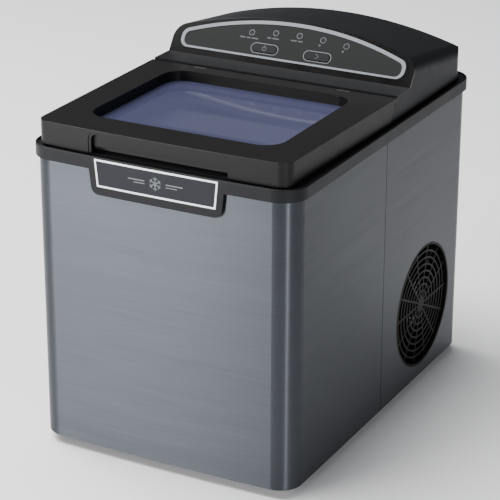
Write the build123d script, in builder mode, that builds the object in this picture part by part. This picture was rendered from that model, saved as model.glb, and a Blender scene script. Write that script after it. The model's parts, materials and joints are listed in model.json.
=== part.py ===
"""Countertop ice maker, built as its separate pieces.

Millimetres.  +Z is up, the front faces -Y, and the right-hand side is +X.
The origin is on the standing surface, under the middle of the cabinet.
"""
from build123d import *
import math
import os

# ---------------------------------------------------------------- cabinet
band_width = 242.0          # black top band, the widest place
band_depth = 350.0
band_proud = 3.0            # the band stands this far outside the metal
foot_height = 8.0
wrap_height = 245.5         # sheet-metal wraps
band_height = 10.5
lid_height = 20.0           # from the band's top to the lid's top
corner_radius = 19.0        # vertical corners of the metal
front_bow = 2.5             # the front bulges by this much in the middle
sheet = 0.8                 # metal thickness
seam_gap = 0.6              # between the front and rear wraps
seam_y = -2.0
shell_wall = 2.5            # moulded shells
skin_gap = 0.1              # between a moulding and the sheet round it
band_deck = 3.0             # thickness of the band's top
band_skirt = 10.0           # the band reaches this far down inside the metal
groove_rim = 1.6            # the band's rim, outside the dark groove round the lid
groove_depth = 1.6
tab_half = 61.0             # tab that hangs from the band's front
tab_drop = 20.7             # below the band's underside
tab_corner = 7.0
tab_taper = 3.0
badge_half = 55.5
badge_taper = 2.2
badge_height = 23.0
badge_drop = 24.5           # from the band's top to the badge's foot
badge_line = 1.6
badge_recess = 1.2
slot_width = 3.6            # louvres in the metal
slot_pitch = 8.0
side_slot_length = 46.0
side_slot_rows = 11
back_slot_length = 34.0
back_slot_rows = 7

# ---------------------------------------------------------------- ice bin
foam_thickness = 17.0
tub_wall = 2.0
tub_floor_z = 42.0
tub_depth = 172.0           # front to back, inside
tub_corner = 14.0
basket_gap = 10.0           # between the basket and the tub's side walls
basket_depth = 80.0
basket_height = 104.0
basket_wall = 2.0
basket_rest_z = 118.0
basket_lip = 4.0
tub_flange = 8.0            # the tub's flange reaches this far outside its walls
flange_thickness = 2.5
foam_gap = 0.5
rail_height = 6.0
chute_top_z = 150.0
chute_foot_z = 124.0
chute_thickness = 3.0
pump_x = -78.0
pump_radius = 15.0
pump_height = 44.0
pump_gap = 12.0             # between the pump and the tub
hose_radius = 4.0
hose_wall = 1.5
nozzle_length = 8.0
spout_x = -44.0

# ---------------------------------------------------------------- freezer
rod_radius = 4.5
rod_length = 30.0
rod_pitch = 20.0
rod_row_pitch = 18.0
rod_tip_z = 203.0
tray_length = 114.0
tray_depth = 40.0
tray_height = 20.0
tray_wall = 2.0
journal_radius = 3.0
journal_clearance = 0.05    # radial, in each bearing
tray_side_gap = 2.0         # between the tray's end and its bearing cheek
motor_shaft = 6.0
plate_thickness = 12.0
bridge_thickness = 3.0

# ---------------------------------------------------------------- lid
lid_side_gap = 4.8          # the lid's sides stand this far inside the band, at the hinge
lid_front_side_gap = 8.5    # and this far at the front: the lid narrows
lid_front_gap = 4.5
lid_corner = 10.0
lid_gap = 1.0               # under the closed lid
window_half = 86.0
window_front_margin = 31.5  # from the lid's front edge to the window
window_depth = 141.0
window_corner = 18.0
window_recess = 9.0
pane_thickness = 3.0
pane_margin = 3.5
notch_half = 61.0           # finger notch in the lid's front
notch_depth = 4.5
notch_height = 15.5
notch_slot = 4.5            # finger slot under the notch's back wall
notch_rim = 2.4             # width of the shallow step round the notch
notch_step = 0.6
barrel_radius = 2.6
hinge_pin_radius = 1.25
hinge_pin_clearance = 0.05
knuckle_half_span = 68.0
knuckle_width = 12.0
knuckle_side_gap = 0.4
hinge_y = 17.5
pin_length = 30.0
trough_gap = 0.4            # between the lid's hinge barrel and its trough
retainer_height = 3.0

# ---------------------------------------------------------------- control housing
housing_side_gap = 5.5
housing_rear_gap = 7.0
housing_corner = 24.0
seam_foot_y = 8.6           # foot of the sloping seam between lid and housing
hinge_beam_rear = 26.0      # the housing is solid from the seam back to here
ledge_rise = 1.0
fascia_y = 45.0             # foot of the sloping fascia
fascia_angle = 55.0
fascia_thickness = 2.5
crown_rise = 35.2           # from the fascia's foot to the crown, at the middle
crown_radius = 400.0
crown_fall_angle = 6.9      # the crown falls towards the back
crown_side_fillet = 13.0
crown_rear_radius = 22.0
blend_step = 0.05           # keeps the crown's roundings from lying on one another
ring_half = 107.2
ring_foot = 5.7             # up the slope from the fascia's foot
ring_top = 41.2
ring_arc_radius = 300.0
ring_width = 3.2
ring_foot_width = 1.8       # the trim is thinner along its foot
ring_depth = 1.0
membrane_thickness = 0.6
button_pitch = 50.6
button_length = 23.4
button_width = 6.8
button_up_slope = 14.5
button_gap = 0.25
button_stand = 0.6
button_plate = 4.0
button_flange = 1.5         # the button's hidden flange, all round
led_count = 5
led_pitch = 22.6
led_radius = 2.2
led_offset = 4.0            # the row sits this far right of the middle
led_up_slope = 30.6
led_arc_radius = 330.0

# ---------------------------------------------------------------- fan
fan_opening_radius = 56.5
fan_size = 120.0
fan_thickness = 25.0
fan_y = 84.0
fan_z = 75.0
fan_hub_radius = 20.0
blade_count = 7
rotor_tip_gap = 2.0
grille_thickness = 3.0
grille_recess = 1.2
grille_ring_count = 9
grille_rib_count = 14
grille_line = 1.7
grille_rim = 4.0
grille_band = 2.2           # width of the grille's outer ring
fan_screw_radius = 1.8
fan_shaft_radius = 2.5
blade_angle = 35.0
blade_chord = 26.0
blade_thickness = 1.6
spider_thickness = 4.0
spider_arm = 5.0

# ---------------------------------------------------------------- base and rear
base_floor = 3.0
base_wall_height = 14.0
foot_radius = 11.0
foot_inset = 32.0
compressor_radius = 48.0
compressor_height = 118.0
compressor_x = -42.0
compressor_y = 104.0
grommet_height = 8.0
condenser_thickness = 22.0
fin_pitch = 4.0
fin_thickness = 0.6
tube_radius = 3.0
tube_rows = 6
line_radius = 2.5
screw_radius = 1.6
screw_head_radius = 3.2
screw_head_height = 1.8
drain_x = 24.0
drain_z = 38.0
drain_bore = 6.0
drain_boss_height = 6.0
drain_wall = 2.0
drain_shoulder = 9.0
drain_cap_proud = 2.6
drain_cap_clearance = 0.08
inlet_x = -78.0
inlet_z = 34.0
inlet_bore = 4.0
inlet_shoulder = 6.0
inlet_proud = 2.4

# ---------------------------------------------------------------- places that follow
body_half = band_width / 2 - band_proud
body_end = band_depth / 2 - band_proud
wrap_z = foot_height
band_z = wrap_z + wrap_height
rim_z = band_z + band_height
lid_z = rim_z + lid_gap
lid_top_z = rim_z + lid_height
inside_half = body_half - sheet - skin_gap
lid_half = band_width / 2 - lid_side_gap
lid_front_half = band_width / 2 - lid_front_side_gap
lid_front = -(band_depth / 2 - lid_front_gap)
hinge_z = lid_top_z - barrel_radius
window_front = lid_front + window_front_margin
window_rear = window_front + window_depth
pane_z = lid_top_z - window_recess - pane_thickness
tub_half = body_half - sheet - foam_thickness - tub_wall
tub_rear = 20.0
tub_front = tub_rear - tub_depth
mouth_rear = -5.0           # the band's deck covers the tub behind this
basket_half = tub_half - basket_gap
basket_front = tub_front + 4.0
basket_rear = basket_front + basket_depth
tray_rear = tub_rear - 26.0
tray_pivot_y = tray_rear + 2.0
tray_z = rod_tip_z - 9.0
tray_pivot_z = tray_z + tray_height + 2.0
plate_z = rod_tip_z + rod_length
cheek_inner = tray_length / 2 + tray_side_gap
housing_half = band_width / 2 - housing_side_gap
housing_rear = band_depth / 2 - housing_rear_gap
fascia_z = lid_top_z + ledge_rise
crown_z = fascia_z + crown_rise
slope = math.radians(fascia_angle)
crown_y = fascia_y + crown_rise / math.tan(slope)
fascia_plane = Plane(
    origin=(0, fascia_y, fascia_z), x_dir=(1, 0, 0), z_dir=(0, -math.sin(slope), math.cos(slope))
)
floor_top = wrap_z + base_floor
groove_inner = housing_side_gap + groove_rim - 0.2     # the housing's foot stands just inside this
badge_z = rim_z - badge_drop
pump_y = tub_rear + tub_wall + pump_gap + pump_radius
intake_z = tub_floor_z + hose_radius + 2    # the pump draws water here
spout_z = tray_z + tray_height + 12
tub_flange_z = rim_z - band_deck - flange_thickness
drain_boss_y = tub_rear - 30
big = 3 * band_depth        # longer than anything it has to cut through

os.makedirs("parts", exist_ok=True)


def save(piece, label):
    """Name a finished piece and write it."""
    piece.label = label
    export_step(piece, "parts/" + label + ".step")


# ---------------------------------------------------------------- shared outlines
def cabinet_plan(inset, z):
    """Plan of the cabinet, inset from the metal's outer face, at height z."""
    half = body_half - inset
    front = -body_end + inset
    rear = body_end - inset
    with BuildSketch(Plane.XY.offset(z)) as plan:
        with BuildLine():
            ThreePointArc((-half, front + front_bow), (0, front), (half, front + front_bow))
            Polyline((half, front + front_bow), (half, rear), (-half, rear), (-half, front + front_bow))
        make_face()
        fillet(plan.vertices(), corner_radius - inset)
    return plan.sketch


def lid_plan(inset, rear, z):
    """Plan of the lid: bowed front with round corners, wider and square at the hinge."""
    narrow = lid_front_half - inset
    wide = lid_half - inset
    front = lid_front + inset
    with BuildSketch(Plane.XY.offset(z)) as plan:
        with BuildLine():
            ThreePointArc((-narrow, front + front_bow), (0, front), (narrow, front + front_bow))
            Polyline(
                (narrow, front + front_bow), (wide, rear), (-wide, rear), (-narrow, front + front_bow)
            )
        make_face()
        fillet(plan.vertices().group_by(Axis.Y)[0], lid_corner - inset)
    return plan.sketch


def rounded_plan(half, front, rear, radius, z):
    """A plain rectangle with round corners, from front to rear, at height z."""
    middle = (front + rear) / 2
    with BuildSketch(Plane.XY.offset(z)) as plan:
        with Locations((0, middle)):
            RectangleRounded(2 * half, rear - front, radius)
    return plan.sketch


def window_plan(margin, z):
    """The window opening, grown by a margin, at height z."""
    return rounded_plan(
        window_half + margin, window_front - margin, window_rear + margin, window_corner + margin, z
    )


def side_face(points):
    """A closed outline in the vertical fore-and-aft plane, as (y, z) points."""
    with BuildSketch(Plane.YZ) as outline:
        with BuildLine():
            Polyline(*points, close=True)
        make_face()
    return outline.sketch


def ring_plan(plane, inset):
    """The trim ring's D shape on the fascia, inset from its outer edge."""
    half = ring_half - inset
    foot = ring_foot + min(inset, ring_foot_width)
    radius = ring_arc_radius - inset
    top = ring_top - inset
    shoulder = top - radius + math.sqrt(radius**2 - half**2)
    with BuildSketch(plane) as outline:
        with BuildLine():
            Polyline((-half, shoulder), (-half, foot), (half, foot), (half, shoulder))
            ThreePointArc((half, shoulder), (0, top), (-half, shoulder))
        make_face()
        fillet(outline.vertices(), (shoulder - foot) / 2 - 0.1)
    return outline.sketch


def button_plan(plane, growth):
    """Both push buttons' stadium outlines on the fascia."""
    with BuildSketch(plane) as outline:
        with Locations((-button_pitch / 2, button_up_slope), (button_pitch / 2, button_up_slope)):
            SlotOverall(button_length + 2 * growth, button_width + 2 * growth)
    return outline.sketch


def led_points():
    """Centres of the indicator lenses on the fascia, along a shallow arc."""
    points = []
    for index in range(led_count):
        across = (index - (led_count - 1) / 2) * led_pitch
        drop = led_arc_radius - math.sqrt(led_arc_radius**2 - across**2)
        points.append((led_offset + across, led_up_slope - drop))
    return points


rear_screw_spots = []
for screw_side in (-1, 1):
    for screw_height in (wrap_z + base_wall_height / 2 + 1, band_z - 5):
        rear_screw_spots.append((screw_side * (body_half - 30), screw_height))


def screw_holes(radius):
    """Straight bores through the back for its four screws."""
    with BuildPart() as bores:
        with BuildSketch(Plane.XZ.offset(-body_end - 1)):
            with Locations(*rear_screw_spots):
                Circle(radius)
        extrude(amount=shell_wall + sheet + 3)
    return bores.part


# ---------------------------------------------------------------- base
foot_x = body_half - foot_inset
foot_y = body_end - foot_inset
foot_spots = [(-foot_x, -foot_y), (foot_x, -foot_y), (-foot_x, foot_y), (foot_x, foot_y)]

with BuildPart() as base_tray:
    extrude(cabinet_plan(sheet + skin_gap, wrap_z), amount=base_wall_height)
    extrude(
        cabinet_plan(sheet + skin_gap + shell_wall, floor_top), amount=base_wall_height, mode=Mode.SUBTRACT
    )
    with BuildSketch(Plane.XY.offset(wrap_z)):
        with Locations(*foot_spots):
            Circle(screw_radius)
    extrude(amount=base_floor, mode=Mode.SUBTRACT)
    with BuildSketch(Plane.XY.offset(wrap_z)):
        with GridLocations(30, 14, 5, 5):
            SlotOverall(20, 4)
    extrude(amount=base_floor, mode=Mode.SUBTRACT)
    with BuildSketch(Plane.YZ.offset(inside_half - shell_wall - 1)):
        with Locations((fan_y, fan_z)):
            Circle(fan_opening_radius + grille_rim + 1)
    extrude(amount=shell_wall + 2, mode=Mode.SUBTRACT)
    add(screw_holes(screw_radius), mode=Mode.SUBTRACT)
save(base_tray.part, "base_tray")

with BuildPart() as rubber_feet:
    with BuildSketch(Plane.XY):
        with Locations(*foot_spots):
            Circle(foot_radius)
    extrude(amount=foot_height, taper=4)
    with BuildSketch(Plane.XY):
        with Locations(*foot_spots):
            Circle(screw_head_radius + 0.5)
    extrude(amount=foot_height / 2, mode=Mode.SUBTRACT)
    with BuildSketch(Plane.XY.offset(foot_height / 2)):
        with Locations(*foot_spots):
            Circle(screw_radius)
    extrude(amount=foot_height / 2, mode=Mode.SUBTRACT)
save(rubber_feet.part, "rubber_feet")

with BuildPart() as foot_screws:
    with BuildSketch(Plane.XY.offset(foot_height / 2 - screw_head_height)):
        with Locations(*foot_spots):
            Circle(screw_head_radius)
    extrude(amount=screw_head_height)
    with BuildSketch(Plane.XY.offset(foot_height / 2)):
        with Locations(*foot_spots):
            Circle(screw_radius)
    extrude(amount=foot_height / 2 + base_floor)
save(foot_screws.part, "foot_screws")

# ---------------------------------------------------------------- sheet-metal wraps
with BuildPart() as front_wrap:
    extrude(cabinet_plan(0, wrap_z), amount=wrap_height)
    extrude(cabinet_plan(sheet, wrap_z), amount=wrap_height, mode=Mode.SUBTRACT)
    with Locations((0, seam_y - seam_gap / 2, wrap_z)):
        Box(big, big, big, align=(Align.CENTER, Align.MIN, Align.MIN), mode=Mode.SUBTRACT)
save(front_wrap.part, "front_wrap")

with BuildPart() as rear_wrap:
    extrude(cabinet_plan(0, wrap_z), amount=wrap_height)
    extrude(cabinet_plan(sheet, wrap_z), amount=wrap_height, mode=Mode.SUBTRACT)
    with Locations((0, seam_y + seam_gap / 2, wrap_z)):
        Box(big, big, big, align=(Align.CENTER, Align.MAX, Align.MIN), mode=Mode.SUBTRACT)
    with BuildSketch(Plane.YZ.offset(body_half - 2 * sheet)):
        with Locations((fan_y, fan_z)):
            Circle(fan_opening_radius)
    extrude(amount=4 * sheet, mode=Mode.SUBTRACT)
    with BuildSketch(Plane.YZ.offset(-body_half - 2 * sheet)):
        with Locations((fan_y, fan_z + 20)):
            with GridLocations(side_slot_length + 4, slot_pitch, 2, side_slot_rows):
                SlotOverall(side_slot_length, slot_width)
    extrude(amount=4 * sheet, mode=Mode.SUBTRACT)
    with BuildSketch(Plane.XZ.offset(-body_end - 2 * sheet)):
        with Locations((0, band_z - 56)):
            with GridLocations(back_slot_length + 6, slot_pitch, 3, back_slot_rows):
                SlotOverall(back_slot_length, slot_width)
        with Locations((drain_x, drain_z)):
            Circle(drain_bore + 3.5)
        with Locations((inlet_x, inlet_z)):
            Circle(inlet_bore + 4)
    extrude(amount=4 * sheet, mode=Mode.SUBTRACT)
    add(screw_holes(screw_radius), mode=Mode.SUBTRACT)
save(rear_wrap.part, "rear_wrap")

with BuildPart() as rear_screws:
    add(screw_holes(screw_radius))
    with Locations((0, body_end, 0)):
        Box(big, big, big, align=(Align.CENTER, Align.MIN, Align.CENTER), mode=Mode.SUBTRACT)
    with BuildSketch(Plane.XZ.offset(-body_end)):
        with Locations(*rear_screw_spots):
            Circle(screw_head_radius)
    extrude(amount=-screw_head_height)
    fillet(rear_screws.edges().group_by(Axis.Y)[-1], 0.6)
    with BuildSketch(Plane.XZ.offset(-body_end - screw_head_height)):
        with Locations(*rear_screw_spots):
            Rectangle(3.4, 0.9)
            Rectangle(0.9, 3.4)
    extrude(amount=0.9, mode=Mode.SUBTRACT)
save(rear_screws.part, "rear_screws")

# ---------------------------------------------------------------- top band with its front tab
with BuildPart() as tab_blank:
    with BuildSketch(Plane.XZ.offset(body_end - front_bow - corner_radius / 2)) as tab_face:
        with BuildLine():
            Polyline(
                (-tab_half, band_z + 5),
                (-tab_half + tab_taper, band_z - tab_drop),
                (tab_half - tab_taper, band_z - tab_drop),
                (tab_half, band_z + 5),
                close=True,
            )
        make_face()
        fillet(tab_face.vertices().group_by(Axis.Y)[0], tab_corner)
    extrude(amount=corner_radius)
    extrude(cabinet_plan(0, 0), amount=big, mode=Mode.SUBTRACT)
    extrude(cabinet_plan(-band_proud, 0), amount=big, mode=Mode.INTERSECT)

def badge_outline():
    """The badge's outline on the front of the tab."""
    with BuildSketch(Plane.XZ.offset(body_end)) as outline:
        with BuildLine():
            Polyline(
                (-badge_half, badge_z + badge_height),
                (-badge_half + badge_taper, badge_z),
                (badge_half - badge_taper, badge_z),
                (badge_half, badge_z + badge_height),
                close=True,
            )
        make_face()
    return outline.sketch


with BuildPart() as badge_blank:
    extrude(badge_outline(), amount=2 * band_proud)
    extrude(cabinet_plan(badge_recess - band_proud, 0), amount=big, mode=Mode.SUBTRACT)

with BuildPart() as top_collar:
    extrude(cabinet_plan(-band_proud, band_z), amount=band_height)
    extrude(
        cabinet_plan(sheet + skin_gap + shell_wall, band_z),
        amount=band_height - band_deck,
        mode=Mode.SUBTRACT,
    )
    extrude(cabinet_plan(sheet + skin_gap, band_z - band_skirt), amount=band_skirt)
    extrude(
        cabinet_plan(sheet + skin_gap + shell_wall, band_z - band_skirt),
        amount=band_skirt,
        mode=Mode.SUBTRACT,
    )
    fillet(top_collar.faces().sort_by(Axis.Z)[-1].outer_wire().edges(), 1.0)
    extrude(
        cabinet_plan(groove_rim - band_proud, rim_z - groove_depth), amount=groove_depth, mode=Mode.SUBTRACT
    )
    extrude(cabinet_plan(groove_inner - band_proud, rim_z - groove_depth), amount=groove_depth)
    extrude(
        rounded_plan(tub_half, tub_front, mouth_rear, tub_corner, band_z), amount=big, mode=Mode.SUBTRACT
    )
    extrude(
        rounded_plan(housing_half - 12, hinge_beam_rear + 6, housing_rear - 14, 10, band_z),
        amount=big,
        mode=Mode.SUBTRACT,
    )
    add(tab_blank.part)
    add(badge_blank.part, mode=Mode.SUBTRACT)
    add(screw_holes(screw_radius), mode=Mode.SUBTRACT)
save(top_collar.part, "top_collar")

with BuildPart() as badge_frame:
    with BuildSketch(Plane.XZ.offset(body_end)):
        add(badge_outline())
        offset(amount=-badge_line, kind=Kind.INTERSECTION, mode=Mode.SUBTRACT)
    extrude(amount=2 * band_proud)
    extrude(cabinet_plan(badge_recess - band_proud, 0), amount=big, mode=Mode.SUBTRACT)
    extrude(cabinet_plan(0.2 - band_proud, 0), amount=big, mode=Mode.INTERSECT)
save(badge_frame.part, "badge_frame")

with BuildPart() as badge_plate:
    with BuildSketch(Plane.XZ.offset(body_end)):
        add(badge_outline())
        offset(amount=-badge_line, kind=Kind.INTERSECTION, mode=Mode.REPLACE)
    extrude(amount=2 * band_proud)
    extrude(cabinet_plan(badge_recess - band_proud, 0), amount=big, mode=Mode.SUBTRACT)
    extrude(cabinet_plan(0.6 - band_proud, 0), amount=big, mode=Mode.INTERSECT)
save(badge_plate.part, "badge_plate")

# ---------------------------------------------------------------- tub and insulation
with BuildPart() as tub:
    tub_top = tub_flange_z + flange_thickness
    outer_height = tub_top - (tub_floor_z - tub_wall)
    extrude(
        rounded_plan(
            tub_half + tub_wall,
            tub_front - tub_wall,
            tub_rear + tub_wall,
            tub_corner + tub_wall,
            tub_floor_z - tub_wall,
        ),
        amount=outer_height,
    )
    extrude(
        rounded_plan(
            tub_half + tub_flange,
            tub_front - tub_flange,
            tub_rear + tub_flange,
            tub_corner + tub_flange,
            tub_flange_z,
        ),
        amount=flange_thickness,
    )
    extrude(
        rounded_plan(tub_half, tub_front, tub_rear, tub_corner, tub_floor_z), amount=big, mode=Mode.SUBTRACT
    )
    rail_width = basket_gap + 4
    rail_front = tub_front + tub_corner
    for side in (-1, 1):
        with Locations((side * (tub_half - rail_width / 2), rail_front, basket_rest_z)):
            Box(
                rail_width,
                basket_rear - rail_front,
                rail_height,
                align=(Align.CENTER, Align.MIN, Align.MAX),
            )
    with BuildSketch(Plane.XY.offset(tub_floor_z - tub_wall)):
        with Locations((drain_x, drain_boss_y)):
            Circle(drain_bore)
    extrude(amount=-drain_boss_height)
    with BuildSketch(Plane.XY.offset(tub_floor_z - tub_wall - drain_boss_height)):
        with Locations((drain_x, drain_boss_y)):
            Circle(drain_bore - drain_wall)
    extrude(amount=drain_boss_height + 2 * tub_wall, mode=Mode.SUBTRACT)
    with BuildSketch(Plane.XZ.offset(-tub_rear + 1)):
        with Locations((spout_x, spout_z), (pump_x, intake_z)):
            Circle(hose_radius)
    extrude(amount=-tub_wall - 2, mode=Mode.SUBTRACT)
save(tub.part, "tub")

with BuildPart() as foam_insulation:
    foam_height = band_z - 12 - floor_top - 8
    extrude(cabinet_plan(sheet + foam_gap, floor_top + 8), amount=foam_height)
    extrude(
        rounded_plan(
            tub_half + tub_wall + foam_gap,
            tub_front - tub_wall - foam_gap,
            tub_rear + tub_wall + foam_gap,
            tub_corner + tub_wall + foam_gap,
            tub_floor_z - tub_wall - foam_gap,
        ),
        amount=big,
        mode=Mode.SUBTRACT,
    )
    extrude(cabinet_plan(sheet + skin_gap, wrap_z), amount=base_wall_height + 1, mode=Mode.SUBTRACT)
    with Locations((0, tub_rear + tub_wall, 0)):
        Box(big, big, big, align=(Align.CENTER, Align.MIN, Align.CENTER), mode=Mode.SUBTRACT)
    with BuildSketch(Plane.XY.offset(0)):
        with Locations((drain_x, drain_boss_y)):
            Rectangle(26, 120)
    extrude(amount=tub_floor_z - tub_wall - 0.4, mode=Mode.SUBTRACT)
save(foam_insulation.part, "foam_insulation")

# ---------------------------------------------------------------- ice basket
with BuildPart() as ice_basket:
    extrude(
        rounded_plan(basket_half, basket_front, basket_rear, tub_corner - 4, basket_rest_z),
        amount=basket_height,
    )
    extrude(
        rounded_plan(
            basket_half + basket_lip,
            basket_front - 3,
            basket_rear + 3,
            tub_corner,
            basket_rest_z + basket_height,
        ),
        amount=-3,
    )
    extrude(
        rounded_plan(
            basket_half - basket_wall,
            basket_front + basket_wall,
            basket_rear - basket_wall,
            tub_corner - 4 - basket_wall,
            basket_rest_z + basket_wall,
        ),
        amount=big,
        mode=Mode.SUBTRACT,
    )
    basket_middle = (basket_front + basket_rear) / 2
    with BuildSketch(Plane.XZ.offset(-basket_rear - 5)):
        with Locations((0, basket_rest_z + 46)):
            with GridLocations(14, 40, 10, 2):
                SlotOverall(28, 5, rotation=90)
    extrude(amount=basket_depth + 10, mode=Mode.SUBTRACT)
    with BuildSketch(Plane.XY.offset(basket_rest_z)):
        with Locations((0, basket_middle)):
            with GridLocations(16, 24, 9, 3):
                SlotOverall(16, 4, rotation=90)
    extrude(amount=basket_wall, mode=Mode.SUBTRACT)
save(ice_basket.part, "ice_basket")

# ---------------------------------------------------------------- slotted chute under the rods
with BuildPart() as ice_chute:
    extrude(
        side_face(
            [
                (tub_rear, chute_top_z),
                (tub_rear, chute_top_z - chute_thickness),
                (basket_rear + 5, chute_foot_z - chute_thickness),
                (basket_rear + 5, chute_foot_z),
            ]
        ),
        amount=tub_half - tub_corner,
        both=True,
    )
    with BuildSketch(Plane.XY.offset(chute_foot_z - 10)):
        with Locations((0, (basket_rear + tub_rear) / 2 + 4)):
            with GridLocations(12, 1, 13, 1):
                SlotOverall(56, 5, rotation=90)
    extrude(amount=60, mode=Mode.SUBTRACT)
save(ice_chute.part, "ice_chute")

# ---------------------------------------------------------------- freezing unit
front_row_y = tray_rear - tray_depth + 11
rear_row_y = front_row_y + rod_row_pitch
rod_spots = [((index - 2) * rod_pitch, front_row_y) for index in range(5)]
rod_spots += [((index - 1.5) * rod_pitch, rear_row_y) for index in range(4)]
bridge_z = plate_z + plate_thickness + bridge_thickness

with BuildPart() as evaporator_plate:
    with BuildSketch(Plane.XY.offset(plate_z)):
        with Locations((0, (front_row_y + rear_row_y) / 2)):
            RectangleRounded(4 * rod_pitch + 18, rod_row_pitch + 18, 5)
    extrude(amount=plate_thickness)
    fillet(evaporator_plate.faces().sort_by(Axis.Z)[-1].edges(), 2)
save(evaporator_plate.part, "evaporator_plate")

with BuildPart() as freezing_rods:
    with BuildSketch(Plane.XY.offset(rod_tip_z)):
        with Locations(*rod_spots):
            Circle(rod_radius)
    extrude(amount=rod_length)
    fillet(freezing_rods.faces().group_by(Axis.Z)[0].edges(), 2.5)
save(freezing_rods.part, "freezing_rods")

bridge_front = front_row_y - 14
with BuildPart() as freezer_frame:
    extrude(
        rounded_plan(tub_half - 1, bridge_front, tub_rear - 1, tub_corner, bridge_z),
        amount=bridge_thickness,
    )
    for side in (-1, 1):
        with Locations((side * (cheek_inner + 2), tray_pivot_y, bridge_z)):
            Box(4, 22, bridge_z - tray_pivot_z + 8, align=(Align.CENTER, Align.CENTER, Align.MAX))
    for side in (-1, 1):
        with Locations((side * (2 * rod_pitch + 3), (front_row_y + rear_row_y) / 2, bridge_z)):
            Box(8, 20, bridge_z - plate_z - plate_thickness, align=(Align.CENTER, Align.CENTER, Align.MAX))
    with BuildSketch(Plane.YZ.offset(-cheek_inner - 10)):
        with Locations((tray_pivot_y, tray_pivot_z)):
            Circle(journal_radius + journal_clearance)
    extrude(amount=2 * cheek_inner + 20, mode=Mode.SUBTRACT)
    with BuildSketch(Plane.XY.offset(bridge_z)):
        with GridLocations(2 * tub_half - 30, 1, 2, 1):
            SlotOverall(30, 8, rotation=90)
    extrude(amount=bridge_thickness, mode=Mode.SUBTRACT)
save(freezer_frame.part, "freezer_frame")

journal_length = tray_side_gap + 4
with BuildPart() as water_tray:
    tray_middle = tray_rear - tray_depth / 2
    with Locations((0, tray_middle, tray_z)):
        Box(tray_length, tray_depth, tray_height, align=(Align.CENTER, Align.CENTER, Align.MIN))
    fillet(water_tray.edges().filter_by(Axis.X).group_by(Axis.Z)[0], 5)
    with Locations((0, tray_middle, tray_z + tray_wall)):
        Box(
            tray_length - 2 * tray_wall,
            tray_depth - 2 * tray_wall,
            big,
            align=(Align.CENTER, Align.CENTER, Align.MIN),
            mode=Mode.SUBTRACT,
        )
    for side in (-1, 1):
        with Locations((side * (tray_length - tray_wall) / 2, tray_pivot_y, tray_z + tray_height)):
            Box(tray_wall, 12, 8, align=(Align.CENTER, Align.CENTER, Align.CENTER))
    with BuildSketch(Plane.YZ.offset(-tray_length / 2)):
        with Locations((tray_pivot_y, tray_pivot_z)):
            Circle(journal_radius)
    extrude(amount=-journal_length)
    with BuildSketch(Plane.YZ.offset(tray_length / 2)):
        with Locations((tray_pivot_y, tray_pivot_z)):
            Circle(journal_radius)
    extrude(amount=journal_length + motor_shaft)
save(water_tray.part, "water_tray")

motor_x = cheek_inner + 4
with BuildPart() as tray_motor:
    with Locations((motor_x, tray_pivot_y - 6, tray_pivot_z)):
        Box(18, 32, 36, align=(Align.MIN, Align.CENTER, Align.CENTER))
    fillet(tray_motor.edges().filter_by(Axis.X), 4)
    with BuildSketch(Plane.YZ.offset(motor_x)):
        with Locations((tray_pivot_y, tray_pivot_z)):
            Circle(journal_radius + journal_clearance)
    extrude(amount=motor_shaft + 1, mode=Mode.SUBTRACT)
save(tray_motor.part, "tray_motor")

with BuildPart() as ice_sensors:
    for side in (-1, 1):
        with Locations((side * (tub_half - 4), basket_rear + 14, basket_rest_z + basket_height - 8)):
            Box(8, 12, 16)
save(ice_sensors.part, "ice_sensors")

with BuildPart() as level_sensor:
    with BuildSketch(Plane.XY.offset(tub_floor_z)):
        with Locations((-tub_half + 14, tub_rear - 14)):
            Circle(4)
    extrude(amount=52)
    with BuildSketch(Plane.XY.offset(tub_floor_z + 12)):
        with Locations((-tub_half + 14, tub_rear - 14)):
            Circle(9)
            Circle(4, mode=Mode.SUBTRACT)
    extrude(amount=12)
save(level_sensor.part, "level_sensor")

# ---------------------------------------------------------------- water pump, hoses and drain
with BuildPart() as water_pump:
    with BuildSketch(Plane.XY.offset(floor_top)):
        with Locations((pump_x, pump_y)):
            Circle(pump_radius)
    extrude(amount=pump_height)
    fillet(water_pump.faces().sort_by(Axis.Z)[-1].edges(), 3)
    with BuildSketch(Plane.XY.offset(floor_top + pump_height)):
        with Locations((pump_x, pump_y)):
            Circle(hose_radius)
    extrude(amount=nozzle_length)
    with BuildSketch(Plane.XZ.offset(-tub_rear)):
        with Locations((pump_x, intake_z)):
            Circle(hose_radius)
    extrude(amount=-(pump_y - tub_rear))
save(water_pump.part, "water_pump")

with BuildPart() as fill_hose:
    with BuildLine() as hose_path:
        FilletPolyline(
            (pump_x, pump_y, floor_top + pump_height + nozzle_length),
            (pump_x, pump_y, spout_z),
            (spout_x, pump_y, spout_z),
            (spout_x, tray_rear - 4, spout_z),
            radius=12,
        )
    with BuildSketch(Plane(origin=hose_path.line @ 0, z_dir=hose_path.line % 0)):
        Circle(hose_radius)
        Circle(hose_radius - hose_wall, mode=Mode.SUBTRACT)
    sweep(path=hose_path.line)
save(fill_hose.part, "fill_hose")

drain_boss_z = tub_floor_z - tub_wall - drain_boss_height
hose_low_z = floor_top + drain_bore + 5
with BuildPart() as drain_hose:
    with BuildLine() as drain_path:
        FilletPolyline(
            (drain_x, drain_boss_y, drain_boss_z),
            (drain_x, drain_boss_y, hose_low_z),
            (drain_x, drain_boss_y + 40, hose_low_z),
            (drain_x, body_end - 60, drain_z),
            (drain_x, body_end - sheet - drain_shoulder, drain_z),
            radius=[5, 5, 5],
        )
    with BuildSketch(Plane(origin=drain_path.line @ 0, z_dir=drain_path.line % 0)):
        Circle(drain_bore)
        Circle(drain_bore - drain_wall, mode=Mode.SUBTRACT)
    sweep(path=drain_path.line)
save(drain_hose.part, "drain_hose")

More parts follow.
